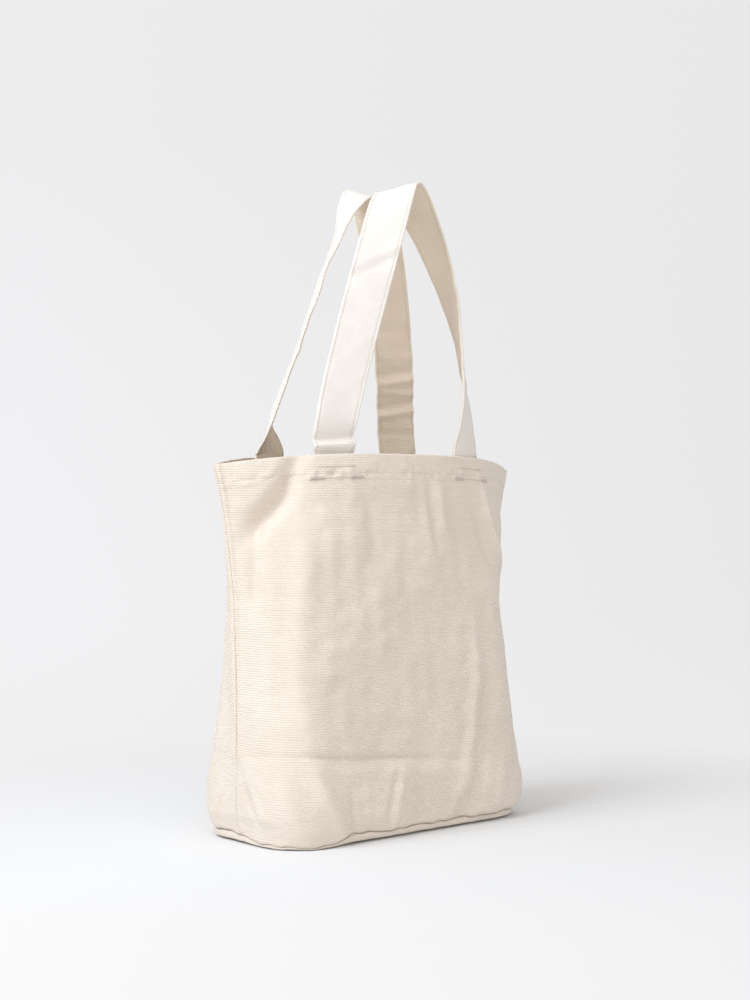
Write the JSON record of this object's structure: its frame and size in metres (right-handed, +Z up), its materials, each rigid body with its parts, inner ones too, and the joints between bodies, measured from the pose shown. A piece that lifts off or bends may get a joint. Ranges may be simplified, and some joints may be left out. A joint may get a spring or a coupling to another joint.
{
  "type": "canvas tote bag",
  "caption": "Open-topped canvas tote bag on an oblong base, with a folded hem and two flat carrying straps that swing over the rim.",
  "frame": {"origin": "on the floor, under the middle of the bag", "axes": "+Z up, X along the mouth from side seam to side seam, front panel facing -Y"},
  "size_m": [0.34, 0.159, 0.5962],
  "materials": {
    "canvas": "natural ribbed cotton canvas",
    "strap": "natural cotton canvas, folded and edge-stitched",
    "binding": "natural cotton tape",
    "thread": "natural cotton thread"
  },
  "bodies": {
    "bag": {"front_panel": "canvas", "back_panel": "canvas", "base_panel": "canvas", "left_seam_binding": "binding", "right_seam_binding": "binding", "base_seam_binding": "binding", "front_strap_left_end": "strap", "front_strap_right_end": "strap", "rear_strap_left_end": "strap", "rear_strap_right_end": "strap", "front_hem_stitching": "thread", "back_hem_stitching": "thread", "front_left_anchor_stitching": "thread", "front_right_anchor_stitching": "thread", "rear_left_anchor_stitching": "thread", "rear_right_anchor_stitching": "thread", "base_seam_stitching": "thread"},
    "front_handle": {"front_strap": "strap", "front_strap_edge_stitching": "thread"},
    "rear_handle": {"rear_strap": "strap", "rear_strap_edge_stitching": "thread"}
  },
  "joints": [
    {"name": "front_strap_swing", "type": "hinge", "parent": "bag", "child": "front_handle", "pos_m": [0, -0.06, 0.342], "axis": [1, 0, 0], "range_deg": [0, 165]},
    {"name": "rear_strap_swing", "type": "hinge", "parent": "bag", "child": "rear_handle", "pos_m": [0, 0.06, 0.342], "axis": [-1, 0, 0], "range_deg": [0, 165]}
  ]
}
